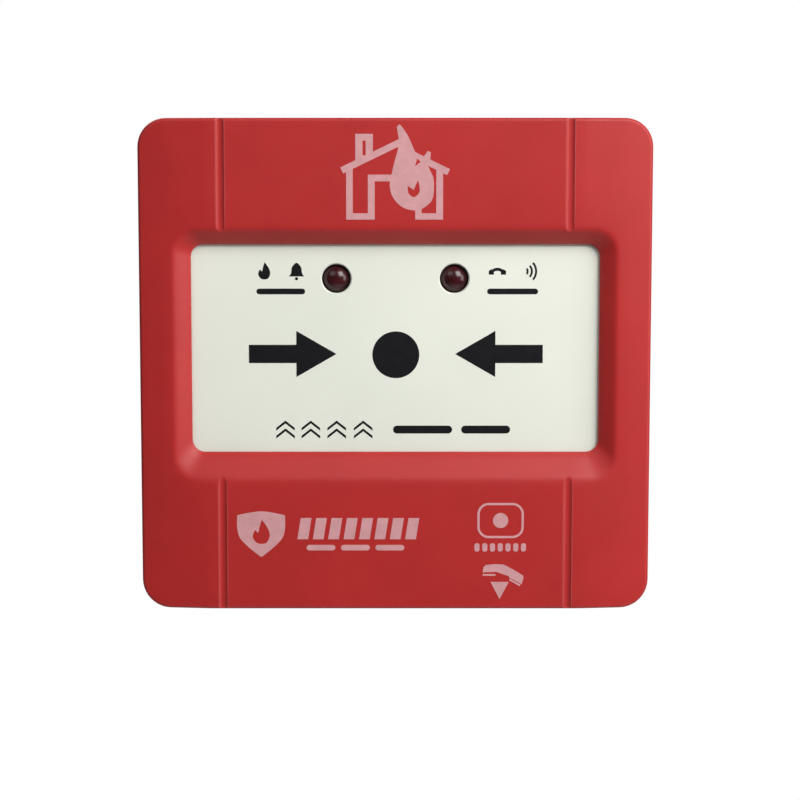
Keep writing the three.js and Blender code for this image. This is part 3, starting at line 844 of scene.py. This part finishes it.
def printed(name, filled, cut, y, body, ink_name):
    """filled and cut are lists of outlines in X and Z; what a cut covers is left out."""
    loops = [p if polygon_area(p) > 0 else p[::-1] for p in filled + cut]
    points = [Vector(p) for loop in loops for p in loop]
    faces, start = [], 0
    for loop in loops:
        faces.append(list(range(start, start + len(loop))))
        start += len(loop)
    flat, _, cells, _, _, sources = delaunay_2d_cdt(points, [], faces, 1, 1e-5)
    kept = [
        cell
        for cell, source in zip(cells, sources)
        if source and all(s < len(filled) for s in source)
    ]
    used = sorted({i for cell in kept for i in cell})
    place = {old: new for new, old in enumerate(used)}
    n = len(used)
    front = [(flat[i].x, y - PRINT_HEIGHT, flat[i].y) for i in used]
    back = [(flat[i].x, y + PRINT_HEIGHT / 2, flat[i].y) for i in used]
    caps = [[place[i] for i in cell] for cell in kept]
    edges = {(a, b) for cell in caps for a, b in zip(cell, cell[1:] + cell[:1])}
    walls = [(a, b, b + n, a + n) for a, b in edges if (b, a) not in edges]
    skins = caps + [[i + n for i in reversed(cell)] for cell in caps] + walls
    obj = mesh_object(name, front + back, skins, 30)
    return dress(obj, ink_name, body)


def arc(cx, cz, radius, start, end, steps):
    points = []
    for i in range(steps + 1):
        angle = math.radians(start + (end - start) * i / steps)
        points.append((cx + radius * math.cos(angle), cz + radius * math.sin(angle)))
    return points


def disc(cx, cz, radius, steps):
    return arc(cx, cz, radius, 0, 360 - 360 / steps, steps - 1)


def pill(x0, x1, z0, z1):
    radius = (z1 - z0) / 2
    middle = (z0 + z1) / 2
    right = arc(x1 - radius, middle, radius, -90, 90, 10)
    return right + arc(x0 + radius, middle, radius, 90, 270, 10)


def plate(x0, x1, z0, z1, radius):
    return outline((x0, x1), (z0, z1), radius, 4)


def rectangle(x0, x1, z0, z1):
    return [(x0, z0), (x1, z0), (x1, z1), (x0, z1)]


def curve(knots, steps=8):
    """A smooth closed outline through the knots; a knot marked True is a corner."""
    points = []
    n = len(knots)

    def tangent(i):
        if len(knots[i]) > 2:
            return Vector((0, 0))
        before, after = Vector(knots[i - 1][:2]), Vector(knots[(i + 1) % n][:2])
        return (after - before) / 2

    for i in range(n):
        a, b = Vector(knots[i][:2]), Vector(knots[(i + 1) % n][:2])
        ta, tb = tangent(i), tangent((i + 1) % n)
        for k in range(steps):
            t = k / steps
            h = (2 * t**3 - 3 * t**2 + 1, t**3 - 2 * t**2 + t, -2 * t**3 + 3 * t**2, t**3 - t**2)
            p = a * h[0] + ta * h[1] + b * h[2] + tb * h[3]
            points.append((p.x, p.y))
    return points


def stroke(a, b, width):
    """A straight bar from a to b."""
    a, b = Vector(a), Vector(b)
    across = (b - a).orthogonal().normalized() * width / 2
    return [tuple(a - across), tuple(b - across), tuple(b + across), tuple(a + across)]


def burning_house():
    """A house with a chimney and a tall flame through its roof."""
    line = 1.15
    floor = (25.64, 26.75)
    base, _ = floor
    filled = [
        rectangle(-8.54, -3.58, *floor),
        [(-8.54, base), (-7.39, base), (-7.39, 35.2), (-8.54, 34.6)],
        rectangle(-4.77, -3.58, base, 33.43),
        rectangle(-4.77, 0.5, 32.27, 33.43),
        stroke((-9.3, 34.15), (0.8, 39.0), line),
        [(-6.94, 35.3), (-3.89, 36.8), (-3.89, 40.46), (-6.94, 40.46)],
        stroke((2.6, 37.1), (9.25, 33.85), line),
        [(7.12, base), (8.3, base), (8.3, 34.4), (7.12, 35.0)],
        rectangle(3.47, 8.3, *floor),
        rectangle(3.47, 4.58, base, 28.4),
    ]
    flame = curve(
        [
            (0.26, 41.6, True),
            (0.65, 42.05),
            (1.05, 41.8),
            (2.15, 40.2),
            (2.9, 38.6),
            (3.5, 37.3),
            (4.7, 36.5),
            (5.6, 37.5, True),
            (6.15, 37.3, True),
            (6.1, 36.2),
            (5.8, 34.8),
            (6.6, 32.9),
            (6.7, 30.9),
            (6.3, 28.9),
            (4.6, 27.5),
            (3.0, 27.25),
            (1.0, 27.95),
            (-0.45, 29.6),
            (-0.95, 31.4),
            (-0.75, 33.0),
            (-0.1, 35.8),
            (0.42, 37.7),
            (0.6, 39.4),
        ],
        5,
    )
    hook = [(3.95, 32.5, True), (4.25, 30.6), (3.3, 29.55), (2.3, 30.2)]
    core = curve([*hook, (2.15, 31.5, True), (3.2, 30.8, True)])
    flue = rectangle(-5.68, -5.13, 36.75, 39.3)
    notch = [(3.4, 34.8), (3.8, 36.2), (4.4, 35.65)]
    return filled + [flame], [core, flue, notch]


def handset(cx, cz, size):
    """A telephone handset: a bowed grip between two cups."""
    grip = arc(0, -1.5, 2.5, 145, 35, 16) + arc(0, -1.5, 1.65, 40, 140, 16)
    cups = [
        [(-2.45, -0.95), (-1.0, -0.95), (-1.0, 0.1), (-1.7, 0.6), (-2.45, 0.1)],
        [(1.0, -0.95), (2.45, -0.95), (2.45, 0.1), (1.7, 0.6), (1.0, 0.1)],
    ]
    return [[(cx + size * x, cz + size * z) for x, z in loop] for loop in [grip, *cups]]


def small_flame(cx, cz, size):
    knots = [
        (0.1, 1.7, True),
        (0.9, 0.5),
        (1.1, -0.5),
        (0.6, -1.4),
        (-0.5, -1.4),
        (-1.1, -0.6),
        (-0.8, 0.3),
        (-0.4, 0.0),
        (-0.2, 0.8),
    ]
    return curve([(cx + size * k[0], cz + size * k[1], *k[2:]) for k in knots])


def bell(cx, cz):
    knots = [(-1.35, -0.9, True), (-0.95, -0.3), (-0.8, 0.7), (0, 1.5)]
    knots += [(0.8, 0.7), (0.95, -0.3), (1.35, -0.9, True)]
    return [curve([(cx + k[0], cz + k[1], *k[2:]) for k in knots]), disc(cx, cz - 1.3, 0.28, 16)]


def waves(cx, cz):
    """Three arcs that spread to the right."""
    line = 0.36
    return [
        arc(cx, cz, radius, -42, 42, 14) + arc(cx, cz, radius - line, 42, -42, 14)
        for radius in (0.9, 1.65, 2.4)
    ]


def chevron(cx, cz, half, rise, line):
    return [
        (cx - half, cz - rise / 2 - line / 2),
        (cx, cz + rise / 2 - line / 2),
        (cx + half, cz - rise / 2 - line / 2),
        (cx + half, cz - rise / 2 + line / 2),
        (cx, cz + rise / 2 + line / 2),
        (cx - half, cz - rise / 2 + line / 2),
    ]


ARROW_Z = 1.73


def arrow(side):
    """An arrow that points at the dot from the left (-1) or the right (1)."""
    tail, neck, tip, half, head = 26.0, 17.6, 10.5, 1.62, 4.1
    points = [(tail, -half), (neck, -half), (neck, -head), (tip, 0)]
    points += [(neck, head), (neck, half), (tail, half)]
    return [(side * x + 0.1, ARROW_Z + 0.15 + z) for x, z in points]


def panel_prints():
    def on_panel(name, filled):
        printed(name, filled, [], PANEL_FACE_Y, "panel", "black_ink")

    on_panel("print_dot", [disc(0.1, ARROW_Z, 4.15, 96)])
    on_panel("print_arrow_left", [arrow(-1)])
    on_panel("print_arrow_right", [arrow(1)])
    row = -11.6
    for number, x in enumerate((-19.5, -15.0, -10.4, -5.7), 1):
        pair = [chevron(x, row + lift, 1.65, 1.3, 0.5) for lift in (0.7, -0.7)]
        on_panel(f"print_chevron_{number}", pair)
    on_panel("print_bar_1", [pill(-0.4, 10.1, row - 0.7, row + 0.7)])
    on_panel("print_bar_2", [pill(11.7, 20.4, row - 0.7, row + 0.7)])
    icons, labels = 16.5, (12.45, 13.45)
    on_panel("print_flame", [small_flame(-23.1, icons, 0.95)])
    on_panel("print_bell", bell(-17.4, icons))
    on_panel("print_handset", handset(18.0, icons, 0.62))
    on_panel("print_waves", waves(22.6, icons))
    on_panel("print_label_left", [pill(-24.5, -15.9, *labels)])
    on_panel("print_label_right", [pill(16.2, 25.2, *labels)])


def cover_prints():
    def on_cover(name, filled, cut=()):
        printed(name, filled, list(cut), FACE_Y, "front_unit", "pale_ink")

    on_cover("print_burning_house", *burning_house())
    knots = [(-4.2, 3.4, True), (0, 4.1), (4.2, 3.4, True), (3.8, -0.6), (0, -4.1, True), (-3.8, -0.6)]
    shield = curve([(-23.7 + k[0], -29.8 + k[1], *k[2:]) for k in knots])
    on_cover("print_shield", [shield], [small_flame(-23.7, -29.5, 1.35)])
    for number in range(8):
        x = -17.3 + number * 2.72
        bar = [(x, -30.7), (x + 1.9, -30.7), (x + 2.5, -26.9), (x + 0.6, -26.9)]
        on_cover(f"print_stripe_{number + 1}", [bar])
    for number in range(3):
        x = -15.7 + number * 6.1
        on_cover(f"print_dash_{number + 1}", [pill(x, x + 5.1, -32.7, -31.7)])
    badge = {"x": (14.5, 22.7), "z": (-30.5, -24.2), "r": 2.0}
    on_cover("print_badge", [outline(**badge)], [outline(**grown(**badge, by=-0.4))])
    on_cover("print_badge_dot", [disc(18.6, -27.35, 1.35, 32)])
    for number in range(7):
        x = 14.0 + number * 1.37
        on_cover(f"print_peg_{number + 1}", [plate(x, x + 0.9, -32.9, -31.4, 0.4)])
    jack_handset = [
        (15.47, -36.65),
        (15.6, -35.75),
        (16.05, -35.33),
        (17.5, -35.15),
        (19.21, -35.25),
        (21.0, -36.2),
        (22.6, -37.2),
        (22.72, -37.6),
        (22.37, -38.79),
        (20.18, -37.58),
        (20.05, -37.3),
        (19.21, -37.02),
        (17.86, -36.53),
    ]
    on_cover("print_jack_handset", [jack_handset])
    on_cover("print_jack_ear", [stroke((15.5, -37.1), (17.75, -37.1), 0.32)])
    on_cover("print_jack_mouth", [stroke((20.2, -37.9), (22.1, -38.98), 0.32)])
    on_cover("print_jack_arrow", [[(16.85, -38.35), (20.1, -38.35), (18.48, -41.45)]])


panel_prints()
cover_prints()


# Carried-over pieces take the record's slots

for row in frame["record"]["subparts"]:
    node = frame["nodes"][row["node"]]
    node.data.materials.clear()
    node.data.materials.append(MATERIALS[row["material_slot"]])
    smooth(node)


# Light and floor

def area_light(name, place, size, power, colour=(1, 1, 1)):
    """A soft light that is aimed at the middle of the front; places and sizes are in metres."""
    data = bpy.data.lights.new(name, "AREA")
    data.shape = "RECTANGLE"
    data.size, data.size_y = size
    data.energy = power
    data.color = colour
    light = bpy.data.objects.new(name, data)
    light.location = place
    aim = Vector((0, FACE_Y * MM, 0)) - Vector(place)
    light.rotation_euler = aim.to_track_quat("-Z", "Y").to_euler()
    bpy.context.scene.collection.objects.link(light)


WARM = (1.0, 0.985, 0.965)
COOL = (0.97, 0.98, 1.0)


def white_world():
    """White behind the object, and a weak even light from all round."""
    world = bpy.data.worlds.new("studio")
    bpy.context.scene.world = world
    world.use_nodes = True
    tree = world.node_tree
    background = tree.nodes["Background"]
    background.inputs["Color"].default_value = (1, 1, 1, 1)
    path = tree.nodes.new("ShaderNodeLightPath")
    strength = tree.nodes.new("ShaderNodeMapRange")
    strength.inputs["To Min"].default_value = 0.095
    strength.inputs["To Max"].default_value = 1.0
    tree.links.new(path.outputs["Is Camera Ray"], strength.inputs["Value"])
    tree.links.new(strength.outputs["Result"], background.inputs["Strength"])


def pale_floor():
    """A pale floor well below the object, which fades out towards its own edges."""
    made = Nodes("floor")
    pale = made.ramp(made.noise(60, 2), [(0.3, (0.86, 0.86, 0.86)), (0.7, (0.9, 0.9, 0.9))])
    near_centre = made.add("ShaderNodeTexGradient", gradient_type="SPHERICAL")
    made.link(made.stretched((1.7, 1.7, 0)), near_centre.inputs["Vector"])
    fade = made.ramp(near_centre.outputs["Fac"], [(0.02, (0, 0, 0)), (0.55, (1, 1, 1))])
    made.link(fade, made.surface.inputs["Alpha"])
    material = made.finish(pale, made.scaled(made.noise(30, 2), 0.7, 0.8))
    near, far, side, level = -0.6, 0.6, 0.6, -0.34
    data = bpy.data.meshes.new("floor")
    corners = [(-side, near, level), (side, near, level), (side, far, level), (-side, far, level)]
    data.from_pydata(corners, [], [(0, 1, 2, 3)])
    data.materials.append(material)
    floor = bpy.data.objects.new("floor", data)
    bpy.context.scene.collection.objects.link(floor)


white_world()
area_light("key", (0.262, -0.360, 0.292), (0.30, 0.30), 2.58, WARM)
area_light("side", (0.454, -0.246, 0.052), (0.20, 0.30), 0.82, WARM)
area_light("fill", (-0.34, -0.50, 0.46), (0.5, 0.4), 0.95, COOL)
area_light("back", (-0.40, 0.62, 0.62), (0.6, 0.6), 4.0)
pale_floor()

settings = bpy.context.scene.view_settings
settings.view_transform = "Standard"
settings.look = "None"
